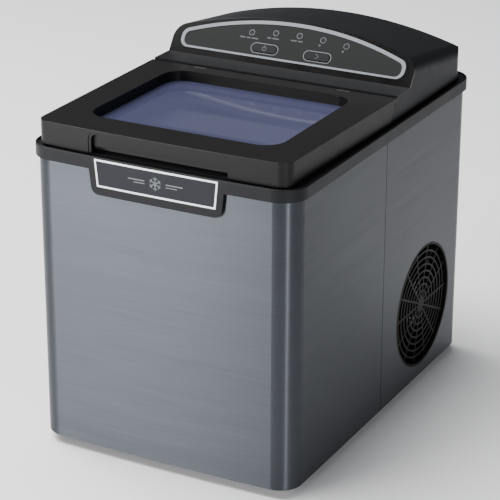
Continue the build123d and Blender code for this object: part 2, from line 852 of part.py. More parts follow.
with BuildPart() as drain_spout:
    with BuildSketch(Plane.XZ.offset(-(body_end - sheet - drain_shoulder))):
        with Locations((drain_x, drain_z)):
            Circle(drain_bore + 7)
    extrude(amount=-drain_shoulder)
    with BuildSketch(Plane.XZ.offset(-(body_end - sheet))):
        with Locations((drain_x, drain_z)):
            Circle(drain_bore + 3.3)
    extrude(amount=-sheet)
    with BuildSketch(Plane.XZ.offset(-(body_end - sheet - drain_shoulder))):
        with Locations((drain_x, drain_z)):
            Circle(drain_bore)
    extrude(amount=-drain_shoulder - sheet, mode=Mode.SUBTRACT)
save(drain_spout.part, "drain_spout")

with BuildPart() as drain_cap:
    with BuildSketch(Plane.XZ.offset(-(body_end - sheet - drain_shoulder + 1))):
        with Locations((drain_x, drain_z)):
            Circle(drain_bore - drain_cap_clearance)
    extrude(amount=-drain_shoulder - sheet + 1)
    with BuildSketch(Plane.XZ.offset(-body_end)):
        with Locations((drain_x, drain_z)):
            Circle(drain_bore + 5)
    extrude(amount=-drain_cap_proud)
    fillet(drain_cap.faces().sort_by(Axis.Y)[-1].edges(), 0.8)
    with BuildSketch(Plane.XZ.offset(-(body_end + drain_cap_proud - 1.2))):
        with Locations((drain_x, drain_z)):
            SlotOverall(12, 2.4)
    extrude(amount=-2, mode=Mode.SUBTRACT)
save(drain_cap.part, "drain_cap")

with BuildPart() as mains_inlet:
    with BuildSketch(Plane.XZ.offset(-(body_end - sheet - inlet_shoulder))):
        with Locations((inlet_x, inlet_z)):
            Circle(inlet_bore + 6)
    extrude(amount=-inlet_shoulder)
    with BuildSketch(Plane.XZ.offset(-(body_end - sheet))):
        with Locations((inlet_x, inlet_z)):
            Circle(inlet_bore + 3.8)
    extrude(amount=-sheet - inlet_proud)
    with BuildSketch(Plane.XZ.offset(-(body_end - sheet - inlet_shoulder))):
        with Locations((inlet_x, inlet_z)):
            Circle(inlet_bore)
    extrude(amount=-inlet_shoulder - sheet - inlet_proud, mode=Mode.SUBTRACT)
save(mains_inlet.part, "mains_inlet")

# ---------------------------------------------------------------- compressor and refrigeration
compressor_z = floor_top + grommet_height
mount_spots = []
for turn in (30, 150, 270):
    reach = compressor_radius - 12
    bolt_x = compressor_x + reach * math.cos(math.radians(turn))
    bolt_y = compressor_y + reach * math.sin(math.radians(turn))
    mount_spots.append((bolt_x, bolt_y))

with BuildPart() as compressor:
    with BuildSketch(Plane.XY.offset(compressor_z)):
        with Locations((compressor_x, compressor_y)):
            Circle(compressor_radius)
    extrude(amount=3)
    with BuildSketch(Plane.XY.offset(compressor_z + 3)):
        with Locations((compressor_x, compressor_y)):
            Circle(compressor_radius - 4)
    extrude(amount=compressor_height - 3)
    fillet(compressor.faces().sort_by(Axis.Z)[-1].edges(), 24)
    with BuildSketch(Plane.XY.offset(compressor_z + compressor_height / 2)):
        with Locations((compressor_x, compressor_y)):
            Circle(compressor_radius - 2)
    extrude(amount=5)
save(compressor.part, "compressor")

with BuildPart() as compressor_grommets:
    with BuildSketch(Plane.XY.offset(floor_top)):
        with Locations(*mount_spots):
            Circle(8)
    extrude(amount=grommet_height)
    fillet(compressor_grommets.edges().group_by(Axis.Z)[-1], 1.5)
save(compressor_grommets.part, "compressor_grommets")

fan_outer_x = body_half - sheet - grille_thickness - 5
fan_inner_x = fan_outer_x - fan_thickness
condenser_x = fan_inner_x - 4 - condenser_thickness
fin_count = int((fan_size - 22) / fin_pitch)
tube_pitch = (fan_size - 24) / (tube_rows - 1)
condenser_mid_x = condenser_x + condenser_thickness / 2
tube_spots = [(fan_z + (row - (tube_rows - 1) / 2) * tube_pitch) for row in range(tube_rows)]

with BuildPart() as condenser_fins:
    for index in range(fin_count):
        fin_y = fan_y + (index - (fin_count - 1) / 2) * fin_pitch
        with BuildSketch(Plane.XZ.offset(-fin_y)):
            with Locations((condenser_mid_x, fan_z)):
                Rectangle(condenser_thickness, fan_size - 8)
            with Locations(*[(condenser_mid_x, height) for height in tube_spots]):
                Circle(tube_radius, mode=Mode.SUBTRACT)
        extrude(amount=fin_thickness / 2, both=True)
save(condenser_fins.part, "condenser_fins")

turn_reach = fan_size / 2 - 4
tube_path_points = []
for row, height in enumerate(tube_spots):
    ends = [(condenser_mid_x, fan_y - turn_reach, height), (condenser_mid_x, fan_y + turn_reach, height)]
    if row % 2 == 1:
        ends.reverse()
    tube_path_points += ends
with BuildPart() as condenser_tube:
    with BuildLine() as serpentine:
        FilletPolyline(*tube_path_points, radius=tube_pitch / 2 - 0.05)
    with BuildSketch(Plane(origin=serpentine.line @ 0, z_dir=serpentine.line % 0)):
        Circle(tube_radius)
    sweep(path=serpentine.line)
save(condenser_tube.part, "condenser_tube")

with BuildPart() as discharge_line:
    with BuildLine() as discharge_path:
        FilletPolyline(
            (compressor_x, compressor_y, compressor_z + compressor_height),
            (compressor_x, compressor_y, compressor_z + compressor_height + 26),
            (condenser_mid_x, compressor_y, compressor_z + compressor_height + 26),
            (condenser_mid_x, compressor_y, fan_z + fan_size / 2 + 2),
            radius=10,
        )
    with BuildSketch(Plane(origin=discharge_path.line @ 0, z_dir=discharge_path.line % 0)):
        Circle(line_radius)
    sweep(path=discharge_path.line)
save(discharge_line.part, "discharge_line")

with BuildPart() as suction_line:
    with BuildLine() as suction_path:
        FilletPolyline(
            (compressor_x - 18, compressor_y, compressor_z + compressor_height),
            (compressor_x - 18, compressor_y, spout_z + 20),
            (0, compressor_y - 24, spout_z + 20),
            (0, tub_rear + tub_wall + 14, spout_z + 20),
            radius=10,
        )
    with BuildSketch(Plane(origin=suction_path.line @ 0, z_dir=suction_path.line % 0)):
        Circle(line_radius)
    sweep(path=suction_path.line)
save(suction_line.part, "suction_line")

with BuildPart() as filter_drier:
    with BuildSketch(Plane.XZ.offset(-(tub_rear + tub_wall + 20))):
        with Locations((30, 120)):
            Circle(9)
    extrude(amount=-52)
    fillet(filter_drier.edges().filter_by(GeomType.CIRCLE), 4)
save(filter_drier.part, "filter_drier")

# ---------------------------------------------------------------- fan behind the round opening
rotor_radius = fan_size / 2 - 4 - rotor_tip_gap
duct_radius = fan_size / 2 - 4
with BuildPart() as fan_frame:
    with BuildSketch(Plane.YZ.offset(fan_inner_x)):
        with Locations((fan_y, fan_z)):
            RectangleRounded(fan_size, fan_size, 6)
            Circle(duct_radius, mode=Mode.SUBTRACT)
    extrude(amount=fan_thickness)
    with BuildSketch(Plane.YZ.offset(fan_outer_x - spider_thickness)):
        with Locations((fan_y, fan_z)):
            Circle(fan_hub_radius)
            Rectangle(2 * duct_radius + 2, spider_arm, rotation=45)
            Rectangle(2 * duct_radius + 2, spider_arm, rotation=-45)
    extrude(amount=spider_thickness)
    with BuildSketch(Plane.YZ.offset(fan_inner_x)):
        with Locations((fan_y, fan_z)):
            with GridLocations(fan_size - 12, fan_size - 12, 2, 2):
                Circle(fan_screw_radius)
    extrude(amount=fan_thickness, mode=Mode.SUBTRACT)
    with BuildSketch(Plane.YZ.offset(fan_outer_x - spider_thickness)):
        with Locations((fan_y, fan_z)):
            Circle(fan_shaft_radius + journal_clearance)
    extrude(amount=3, mode=Mode.SUBTRACT)
save(fan_frame.part, "fan_frame")

with BuildPart() as fan_label:
    with BuildSketch(Plane.YZ.offset(fan_outer_x)):
        with Locations((fan_y, fan_z)):
            Circle(fan_hub_radius - 0.8)
    extrude(amount=0.6)
save(fan_label.part, "fan_label")

with BuildPart() as fan_rotor:
    with BuildSketch(Plane.YZ.offset(fan_inner_x + 2)):
        with Locations((fan_y, fan_z)):
            Circle(fan_hub_radius)
    extrude(amount=fan_thickness - 8)
    with BuildSketch(Plane.YZ.offset(fan_inner_x + 2)):
        with Locations((fan_y, fan_z)):
            Circle(fan_shaft_radius)
    extrude(amount=fan_thickness - 8 + 4)
pitch_turn = math.radians(blade_angle)
with BuildPart() as blade_ring:
    for index in range(blade_count):
        turn = math.radians(index * 360 / blade_count)
        blade_plane = Plane(
            origin=(fan_inner_x + fan_thickness / 2 - 2, fan_y, fan_z),
            x_dir=(0, math.cos(turn), math.sin(turn)),
            z_dir=(
                math.cos(pitch_turn),
                -math.sin(pitch_turn) * math.sin(turn),
                math.sin(pitch_turn) * math.cos(turn),
            ),
        )
        with BuildSketch(blade_plane):
            with Locations((fan_hub_radius - 3, 0)):
                Rectangle(big, blade_chord, align=(Align.MIN, Align.CENTER))
        extrude(amount=blade_thickness)
    with BuildSketch(Plane.YZ.offset(fan_inner_x + 2)):
        with Locations((fan_y, fan_z)):
            Circle(rotor_radius)
            Circle(fan_hub_radius - 2, mode=Mode.SUBTRACT)
    extrude(amount=fan_thickness - 8, mode=Mode.INTERSECT)
with BuildPart() as fan_rotor_whole:
    add(fan_rotor.part)
    add(blade_ring.part)
save(fan_rotor_whole.part, "fan_rotor")

grille_x = body_half - sheet - grille_thickness
with BuildPart() as fan_grille:
    with BuildSketch(Plane.YZ.offset(grille_x)):
        with Locations((fan_y, fan_z)):
            Circle(fan_opening_radius + grille_rim)
            Circle(fan_opening_radius - grille_band, mode=Mode.SUBTRACT)
    extrude(amount=grille_thickness)
    with BuildSketch(Plane.YZ.offset(grille_x)):
        with Locations((fan_y, fan_z)):
            Circle(fan_opening_radius - 0.1)
            Circle(fan_opening_radius - grille_band, mode=Mode.SUBTRACT)
    extrude(amount=grille_thickness + sheet)
    ring_step = (fan_opening_radius - grille_band) / grille_ring_count
    with BuildSketch(Plane.YZ.offset(grille_x)):
        with Locations((fan_y, fan_z)):
            for index in reversed(range(1, grille_ring_count)):
                Circle(index * ring_step + grille_line / 2)
                Circle(index * ring_step - grille_line / 2, mode=Mode.SUBTRACT)
            for index in range(grille_rib_count // 2):
                Rectangle(2 * fan_opening_radius - 3, grille_line, rotation=index * 360 / grille_rib_count)
    extrude(amount=grille_thickness - grille_recess)
save(fan_grille.part, "fan_grille")

with BuildPart() as fan_screws:
    with BuildSketch(Plane.YZ.offset(fan_inner_x)):
        with Locations((fan_y, fan_z)):
            with GridLocations(fan_size - 12, fan_size - 12, 2, 2):
                Circle(fan_screw_radius)
    extrude(amount=fan_thickness)
    with BuildSketch(Plane.YZ.offset(fan_outer_x)):
        with Locations((fan_y, fan_z)):
            with GridLocations(fan_size - 12, fan_size - 12, 2, 2):
                Circle(screw_head_radius)
    extrude(amount=1.6)
save(fan_screws.part, "fan_screws")

# ---------------------------------------------------------------- control housing
def slope_y(height, depth):
    """Fore-and-aft place of the fascia's slope at a height, a depth under its face."""
    return fascia_y + (depth + math.cos(slope) * (height - fascia_z)) / math.sin(slope)


def crown_solid(inset):
    """The crown: a shallow arch that falls backwards and rounds over at the back."""
    axis_z = crown_z - crown_radius
    fall = math.tan(math.radians(crown_fall_angle))
    back = housing_rear - inset + blend_step
    with BuildPart() as crown:
        with BuildSketch(Plane.YZ) as section:
            with BuildLine():
                Polyline(
                    (0, axis_z),
                    (0, crown_z + crown_y * fall - inset),
                    (back, crown_z - (back - crown_y) * fall - inset),
                    (back, axis_z),
                    close=True,
                )
            make_face()
            fillet(section.vertices().sort_by(Axis.X)[-2:].sort_by(Axis.Y)[-1], crown_rear_radius - inset)
        revolve(axis=Axis((0, 0, axis_z), (0, 1, 0)))
    return crown.part


def shoulder_solid(inset):
    """The crown's rounded side edges: its front view, drawn out along the crown's fall."""
    fall = math.radians(crown_fall_angle)
    half = housing_half - inset
    radius = crown_radius - inset
    top = crown_z + crown_y * math.tan(fall) + blend_step - inset
    shoulder = top - radius + math.sqrt(radius**2 - half**2)
    with BuildPart() as shoulders:
        with BuildSketch(Plane.XZ) as outline:
            with BuildLine():
                Polyline((-half, shoulder), (-half, 0), (half, 0), (half, shoulder))
                ThreePointArc((half, shoulder), (0, top), (-half, shoulder))
            make_face()
            fillet(outline.vertices().group_by(Axis.Y)[-1], crown_side_fillet - inset)
        extrude(amount=big, dir=(0, math.cos(fall), -math.sin(fall)))
    return shoulders.part


def housing_side(inset):
    """Side view: sloping seam, ledge, fascia slope and back, up to above the crown."""
    high = crown_z + crown_rise
    if inset == 0:
        nose = [(seam_foot_y, rim_z), (hinge_y, lid_top_z)]
        depth = 0
    else:
        nose = [(hinge_beam_rear, rim_z)]
        depth = inset + fascia_thickness
    ledge_z = fascia_z - inset
    nose.append((nose[-1][0] + (0 if inset else 2), ledge_z))
    points = nose + [
        (slope_y(ledge_z, depth), ledge_z),
        (slope_y(high, depth), high),
        (housing_rear - inset, high),
        (housing_rear - inset, rim_z),
    ]
    return side_face(points)


def housing_block(inset):
    """The housing's solid form, inset from its outer face."""
    middle = (housing_rear - inset) - big / 2
    with BuildPart() as block:
        extrude(housing_side(inset), amount=housing_half - inset, both=True)
        with BuildSketch(Plane.XY):
            with Locations((0, middle)):
                RectangleRounded(2 * (housing_half - inset), big, housing_corner - inset)
        extrude(amount=big, mode=Mode.INTERSECT)
        add(crown_solid(inset), mode=Mode.INTERSECT)
        add(shoulder_solid(inset), mode=Mode.INTERSECT)
    return block.part


def fascia_slab(depth, height):
    """The space over the fascia's slope, from a depth under its face to a height over it."""
    with BuildPart() as slab:
        with BuildSketch(fascia_plane.offset(-depth)):
            Rectangle(big, big, align=(Align.CENTER, Align.MIN))
        extrude(amount=depth + height)
    return slab.part


knuckle_spots = [(-knuckle_half_span, hinge_y, hinge_z), (knuckle_half_span, hinge_y, hinge_z)]
outer_block = housing_block(0)
inner_block = housing_block(shell_wall)

with BuildPart() as shadow_groove:
    extrude(
        rounded_plan(housing_half + 5, seam_foot_y - 90, housing_rear + 5, housing_corner, rim_z),
        amount=lid_gap,
    )
    extrude(
        rounded_plan(
            housing_half - 1.5, seam_foot_y - 60, housing_rear - 1.5, housing_corner - 1.5, rim_z
        ),
        amount=lid_gap,
        mode=Mode.SUBTRACT,
    )

with BuildPart() as control_housing:
    add(outer_block)
    add(inner_block, mode=Mode.SUBTRACT)
    add(fascia_slab(fascia_thickness, 10), mode=Mode.SUBTRACT)
    extrude(button_plan(fascia_plane, 2), amount=-fascia_thickness - shell_wall - 1, mode=Mode.SUBTRACT)
    with BuildSketch(fascia_plane):
        with Locations(*led_points()):
            Circle(led_radius)
    extrude(amount=-fascia_thickness - shell_wall - 1, mode=Mode.SUBTRACT)
    add(shadow_groove.part, mode=Mode.SUBTRACT)
    with Locations((0, hinge_y, hinge_z)):
        Cylinder(barrel_radius + trough_gap, big, rotation=(0, 90, 0), mode=Mode.SUBTRACT)
        Box(
            big,
            barrel_radius + trough_gap,
            big,
            align=(Align.CENTER, Align.MIN, Align.MIN),
            mode=Mode.SUBTRACT,
        )
    with Locations(*knuckle_spots):
        Cylinder(barrel_radius, knuckle_width, rotation=(0, 90, 0))
        Box(knuckle_width, 5, 4.1, align=(Align.CENTER, Align.MIN, Align.MAX))
    with Locations(*knuckle_spots):
        Cylinder(hinge_pin_radius, big, rotation=(0, 90, 0), mode=Mode.SUBTRACT)
save(control_housing.part, "control_housing")

with BuildPart() as control_fascia:
    add(outer_block)
    add(fascia_slab(fascia_thickness, 10), mode=Mode.INTERSECT)
    extrude(ring_plan(fascia_plane, 0), amount=-ring_depth, mode=Mode.SUBTRACT)
    extrude(button_plan(fascia_plane, button_gap), amount=-big, mode=Mode.SUBTRACT)
    with BuildSketch(fascia_plane):
        with Locations(*led_points()):
            Circle(led_radius)
    extrude(amount=-big, mode=Mode.SUBTRACT)
save(control_fascia.part, "control_fascia")

with BuildPart() as panel_ring:
    extrude(ring_plan(fascia_plane, 0), amount=-ring_depth)
    extrude(ring_plan(fascia_plane, ring_width), amount=-ring_depth, mode=Mode.SUBTRACT)
save(panel_ring.part, "panel_ring")

membrane_plane = fascia_plane.offset(-ring_depth)
with BuildPart() as control_panel:
    extrude(ring_plan(membrane_plane, ring_width), amount=membrane_thickness)
    extrude(button_plan(membrane_plane, button_gap), amount=membrane_thickness, mode=Mode.SUBTRACT)
    with BuildSketch(membrane_plane):
        with Locations(*led_points()):
            Circle(led_radius)
    extrude(amount=membrane_thickness, mode=Mode.SUBTRACT)
save(control_panel.part, "control_panel")

with BuildPart() as indicator_lenses:
    with BuildSketch(fascia_plane.offset(-fascia_thickness)):
        with Locations(*led_points()):
            Circle(led_radius)
    extrude(amount=fascia_thickness - ring_depth + membrane_thickness + 0.2)
save(indicator_lenses.part, "indicator_lenses")

board_depth = fascia_thickness + shell_wall + 9
for side, label in ((-1, "power_button"), (1, "select_button")):
    spot = (side * button_pitch / 2, button_up_slope)
    with BuildPart() as push_button:
        with BuildSketch(fascia_plane.offset(-fascia_thickness - button_plate)):
            with Locations(spot):
                SlotOverall(button_length, button_width)
        extrude(amount=fascia_thickness + button_plate - ring_depth + membrane_thickness + button_stand)
        with BuildSketch(fascia_plane.offset(-fascia_thickness - button_plate)):
            with Locations(spot):
                SlotOverall(button_length + 2 * button_flange, button_width + 2 * button_flange)
        extrude(amount=button_plate - 0.4)
    save(push_button.part, label)

with BuildPart() as control_board:
    with BuildSketch(fascia_plane.offset(-board_depth)):
        with Locations((0, ring_foot + 15)):
            Rectangle(150, 24)
    extrude(amount=1.6)
    with BuildSketch(fascia_plane.offset(-board_depth + 1.6)):
        with Locations((-button_pitch / 2, button_up_slope), (button_pitch / 2, button_up_slope)):
            Rectangle(6, 6)
        with Locations(*led_points()):
            Circle(led_radius)
    extrude(amount=2.0)
save(control_board.part, "control_board")

# ---------------------------------------------------------------- lid
seam_foot = seam_foot_y - 1.0
seam_shoulder = (hinge_y - barrel_radius, hinge_z)

with BuildPart() as lid_side_blank:
    extrude(
        side_face(
            [
                (lid_front - 10, lid_z),
                (seam_foot, lid_z),
                seam_shoulder,
                (hinge_y, hinge_z),
                (hinge_y, lid_top_z),
                (lid_front - 10, lid_top_z),
            ]
        ),
        amount=lid_half,
        both=True,
    )
    with Locations((0, hinge_y, hinge_z)):
        Cylinder(barrel_radius, 2 * lid_half, rotation=(0, 90, 0))

with BuildPart() as notch_border:
    with BuildSketch(Plane.XZ.offset(-lid_front - front_bow)) as border_face:
        with Locations((0, lid_z)):
            Rectangle(2 * (notch_half + notch_rim), 2 * (notch_height + notch_rim))
        fillet(border_face.vertices(), 5 + notch_rim)
    extrude(amount=2 * front_bow)
    extrude(lid_plan(notch_step, 0, 0), amount=big, mode=Mode.SUBTRACT)

hollow_top_z = lid_top_z - 3.0
hollow_rear = seam_foot - 1.8
with BuildPart() as lid_frame:
    extrude(lid_plan(0, hinge_y + barrel_radius, lid_z), amount=lid_height)
    fillet(lid_frame.faces().sort_by(Axis.Z)[-1].edges().sort_by(Axis.Y)[0:5], 1.5)
    add(lid_side_blank.part, mode=Mode.INTERSECT)
    extrude(
        lid_plan(shell_wall, hollow_rear, lid_z), amount=hollow_top_z - lid_z, mode=Mode.SUBTRACT
    )
    extrude(window_plan(shell_wall, pane_z + pane_thickness), amount=hollow_top_z - pane_z - pane_thickness)
    extrude(window_plan(0, lid_z), amount=lid_height + 5, mode=Mode.SUBTRACT)
    with BuildSketch(Plane.XZ.offset(-lid_front - notch_depth - shell_wall)) as notch_back:
        with Locations((0, lid_z)):
            Rectangle(2 * (notch_half + shell_wall), 2 * (hollow_top_z - lid_z))
        fillet(notch_back.vertices(), 2)
    extrude(amount=notch_depth + shell_wall - 2)
    with BuildSketch(Plane.XZ.offset(-lid_front - notch_depth)) as notch_cut:
        with Locations((0, lid_z)):
            Rectangle(2 * notch_half, 2 * notch_height)
        fillet(notch_cut.vertices(), 5)
    extrude(amount=30, mode=Mode.SUBTRACT)
    add(notch_border.part, mode=Mode.SUBTRACT)
    with Locations((0, lid_front + notch_depth - 1, lid_z)):
        Box(
            2 * notch_half,
            shell_wall + 2,
            2 * notch_slot,
            align=(Align.CENTER, Align.MIN, Align.CENTER),
            mode=Mode.SUBTRACT,
        )
    with Locations((0, 0, lid_z)):
        Box(big, big, 60, align=(Align.CENTER, Align.CENTER, Align.MAX), mode=Mode.SUBTRACT)
    with Locations(*knuckle_spots):
        Box(
            knuckle_width + 2 * knuckle_side_gap,
            2 * (barrel_radius + trough_gap),
            4 * barrel_radius,
            mode=Mode.SUBTRACT,
        )
    for side in (-1, 1):
        with Locations((side * (knuckle_half_span + pin_length / 2 - 6), hinge_y, hinge_z)):
            Cylinder(
                hinge_pin_radius + hinge_pin_clearance,
                pin_length + 0.5,
                rotation=(0, 90, 0),
                mode=Mode.SUBTRACT,
            )
save(lid_frame.part, "lid_frame")

with BuildPart() as hinge_pins:
    for side in (-1, 1):
        with Locations((side * (knuckle_half_span + pin_length / 2 - 6), hinge_y, hinge_z)):
            Cylinder(hinge_pin_radius, pin_length, rotation=(0, 90, 0))
save(hinge_pins.part, "hinge_pins")

with BuildPart() as lid_window:
    extrude(window_plan(pane_margin, pane_z), amount=pane_thickness)
save(lid_window.part, "lid_window")

with BuildPart() as window_retainer:
    extrude(lid_plan(shell_wall + 0.3, hollow_rear - 0.3, pane_z - retainer_height), amount=retainer_height)
    extrude(window_plan(0, lid_z), amount=big, mode=Mode.SUBTRACT)
    with Locations((0, lid_front + notch_depth + shell_wall + 0.5, pane_z - retainer_height)):
        Box(
            2 * (notch_half + shell_wall) + 1,
            30,
            3 * retainer_height,
            align=(Align.CENTER, Align.MAX, Align.CENTER),
            mode=Mode.SUBTRACT,
        )
save(window_retainer.part, "window_retainer")

with BuildPart() as lid_gasket:
    gasket_z = rim_z + 0.3
    extrude(rounded_plan(tub_half + 6, tub_front - 6, seam_foot_y - 5, tub_corner, gasket_z), amount=10)
    extrude(
        rounded_plan(tub_half + 1, tub_front - 1, seam_foot_y - 10, tub_corner - 5, gasket_z),
        amount=10,
        mode=Mode.SUBTRACT,
    )
    with Locations((0, 0, pane_z - retainer_height)):
        Box(big, big, big, align=(Align.CENTER, Align.CENTER, Align.MIN), mode=Mode.SUBTRACT)
save(lid_gasket.part, "lid_gasket")
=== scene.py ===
import bpy
import math
from mathutils import Matrix, Vector
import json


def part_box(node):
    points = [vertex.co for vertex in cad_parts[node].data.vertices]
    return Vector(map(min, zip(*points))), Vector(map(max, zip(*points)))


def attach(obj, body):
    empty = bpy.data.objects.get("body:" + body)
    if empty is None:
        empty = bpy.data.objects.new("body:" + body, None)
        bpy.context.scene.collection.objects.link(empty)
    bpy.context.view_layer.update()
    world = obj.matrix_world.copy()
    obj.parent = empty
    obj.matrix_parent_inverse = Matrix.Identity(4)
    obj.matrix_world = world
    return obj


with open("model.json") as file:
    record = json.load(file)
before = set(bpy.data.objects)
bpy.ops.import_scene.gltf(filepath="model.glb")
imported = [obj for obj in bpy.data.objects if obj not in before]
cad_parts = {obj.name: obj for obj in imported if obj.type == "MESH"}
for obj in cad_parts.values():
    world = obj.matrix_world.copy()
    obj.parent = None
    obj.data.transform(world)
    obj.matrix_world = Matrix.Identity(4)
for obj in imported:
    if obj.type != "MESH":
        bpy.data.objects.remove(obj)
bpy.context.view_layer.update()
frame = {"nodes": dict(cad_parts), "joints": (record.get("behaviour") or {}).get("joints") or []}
NODES = frame["nodes"]
JOINTS = {joint["name"]: joint for joint in frame["joints"]}

# Camera
CAMERA_AZIMUTH = math.radians(28.17)
CAMERA_ELEVATION = math.radians(22.11)
CAMERA_ROLL = math.radians(0.13)
CAMERA_DISTANCE = 1.74796
CAMERA_TARGET = Vector((-0.01018, 0.0, 0.13194))
CAMERA_LENS = 145.3

CAMERA_SENSOR = 36.0

# Studio
SKY_COLOUR = (0.9, 0.94, 1.0, 1.0)
SKY_STRENGTH = 0.14
FLOOR_SIZE = 16.0

# Surface texture depths
FINE_GRAIN = 0.00001
GLOSS_GRAIN = 0.000002

# Printed marks
MM = 0.001
PRINT_THICKNESS = 0.00004
PRINT_STAND_OFF = 0.00001
DISC_POINTS = 40
BAR_POINTS = 16
LENS_SPACING = 6 * MM       # points further apart than this are on different lenses
LAMP_RING_SIZE = 5.3 * MM
LAMP_RING_LINE = 0.6 * MM
CAPTION_BARS = [(5.5, 4.0, 6.5), (4.0, 6.5), (6.0, 4.5), (2.0,), (2.0,)]    # bars under each lamp
CAPTION_GAP = 1.0
CAPTION_HEIGHT = 1.3
CAPTION_DOT = 2.6
CAPTION_SHIFT = -1.5 * MM
CAPTION_DOT_SHIFT = -2.0 * MM
CAPTION_DROP = 5.0 * MM     # under the lamp's middle
BUTTON_OUTLINE_LENGTH = 26.4 * MM
BUTTON_OUTLINE_WIDTH = 9.6 * MM
BUTTON_OUTLINE_LINE = 0.55 * MM
MARK_LINE = 0.6 * MM
POWER_RING = 4.2 * MM
POWER_STROKE = 3.0 * MM
POWER_STROKE_RISE = 2.0 * MM
ARROW_STROKE = 4.0 * MM
ARROW_SHIFT = -0.2 * MM
ARROW_SPREAD = 1.2 * MM
ARROW_TURN = math.radians(38)
FLAKE_ARM = 11.0 * MM
FLAKE_LINE = 0.9 * MM
BARB_LENGTH = 2.6 * MM
BARB_LINE = 0.6 * MM
BARB_SHIFT = 0.9 * MM
BARB_REACH = 3.3 * MM
BARB_TURN = 55
BADGE_BARS = [(15.0, 0.9, 17.0, 0.9), (10.0, 0.7, 14.5, -1.4)]  # length, line, across, up


# ---------------------------------------------------------------- shader wiring
class Wire:
    """A socket in a material's nodes. Arithmetic on it adds Math nodes."""

    def __init__(self, tree, socket=None):
        self.tree = tree
        self.socket = socket

    def node(self, kind, settings=None, sockets=None, out=0):
        """Add a node: its settings first, then the values or links of its sockets."""
        made = self.tree.nodes.new(kind)
        for key, value in (settings or {}).items():
            setattr(made, key, value)
        for key, value in (sockets or {}).items():
            if isinstance(value, Wire):
                self.tree.links.new(value.socket, made.inputs[key])
            else:
                made.inputs[key].default_value = value
        return Wire(self.tree, made.outputs[out] if len(made.outputs) else None)

    def math(self, operation, *values):
        return self.node("ShaderNodeMath", {"operation": operation}, dict(enumerate(values)))

    def __add__(self, other):
        return self.math("ADD", self, other)

    def __radd__(self, other):
        return self.math("ADD", other, self)

    def __sub__(self, other):
        return self.math("SUBTRACT", self, other)

    def __rsub__(self, other):
        return self.math("SUBTRACT", other, self)

    def __mul__(self, other):
        return self.math("MULTIPLY", self, other)

    def __rmul__(self, other):
        return self.math("MULTIPLY", other, self)


def start_material(name):
    material = bpy.data.materials.new(name)
    material.use_nodes = True
    material.node_tree.nodes.clear()
    return material, Wire(material.node_tree)


def place_on_piece(wire):
    return wire.node("ShaderNodeTexCoord", out="Object")


def noise(wire, scale, stretch=(1.0, 1.0, 1.0), detail=2.0, roughness=0.5):
    """Noise from 0 to 1 at a place on the piece, its cells stretched."""
    where = wire.node(
        "ShaderNodeMapping", None, {"Vector": place_on_piece(wire), "Scale": stretch}
    )
    return wire.node(
        "ShaderNodeTexNoise",
        None,
        {"Vector": where, "Scale": scale, "Detail": detail, "Roughness": roughness},
    )


def mix_colours(wire, amount, first, second):
    return wire.node(
        "ShaderNodeMix", {"data_type": "RGBA"}, {0: amount, 6: first, 7: second}, out=2
    )


def bump(wire, height, distance, strength=1.0):
    return wire.node(
        "ShaderNodeBump", None, {"Height": height, "Distance": distance, "Strength": strength}
    )


def close_material(material, wire, sockets):
    shader = wire.node("ShaderNodeBsdfPrincipled", None, sockets, out="BSDF")
    wire.node("ShaderNodeOutputMaterial", None, {"Surface": shader})
    return material


def tone(red, green, blue):
    """A colour given on the usual 0 to 255 screen scale."""
    def linear(value):
        value = value / 255.0
        return value / 12.92 if value <= 0.04045 else ((value + 0.055) / 1.055) ** 2.4
    return (linear(red), linear(green), linear(blue), 1.0)


def scaled(colour, factor):
    return (colour[0] * factor, colour[1] * factor, colour[2] * factor, 1.0)


# ---------------------------------------------------------------- finishes
def brushed_metal(name, colour, roughness, contrast=0.16):
    """Sheet metal with a fine grain that runs level round the cabinet."""
    material, wire = start_material(name)
    hairs = noise(wire, 1.0, (26.0, 26.0, 2600.0), detail=3.0)
    scratches = noise(wire, 1.0, (9.0, 9.0, 700.0), detail=2.0)
    bands = noise(wire, 1.0, (2.0, 2.0, 70.0), detail=2.0)
    grain = hairs * 0.45 + scratches * 0.35 + bands * 0.2
    colour_wire = mix_colours(
        wire, (grain - 0.5) * 2.2 + 0.5, scaled(colour, 1.0 - contrast), scaled(colour, 1.0 + contrast)
    )
    return close_material(
        material,
        wire,
        {
            "Base Color": colour_wire,
            "Metallic": 1.0,
            "Roughness": roughness + (scratches - 0.5) * 0.18,
            "Anisotropic": 0.9,
            "Anisotropic Rotation": 0.25,
            "Normal": bump(wire, hairs, FINE_GRAIN, 0.5),
        },
    )


def moulded_plastic(
    name, colour, roughness, grain_scale=1600.0, grain_depth=FINE_GRAIN, mottle=0.12, specular=0.16
):
    """Injection-moulded plastic: fine texture, and faint flow marks in its gloss."""
    material, wire = start_material(name)
    grain = noise(wire, grain_scale, detail=1.0)
    flow = noise(wire, 14.0, detail=3.0)
    smudge = noise(wire, 38.0, detail=4.0, roughness=0.6)
    colour_wire = mix_colours(wire, flow, scaled(colour, 1.0 - mottle), scaled(colour, 1.0 + mottle))
    return close_material(
        material,
        wire,
        {
            "Base Color": colour_wire,
            "Roughness": roughness + (smudge - 0.5) * 0.16 + (grain - 0.5) * 0.06,
            "Specular IOR Level": specular,
            "Normal": bump(wire, grain, grain_depth, 0.6),
        },
    )


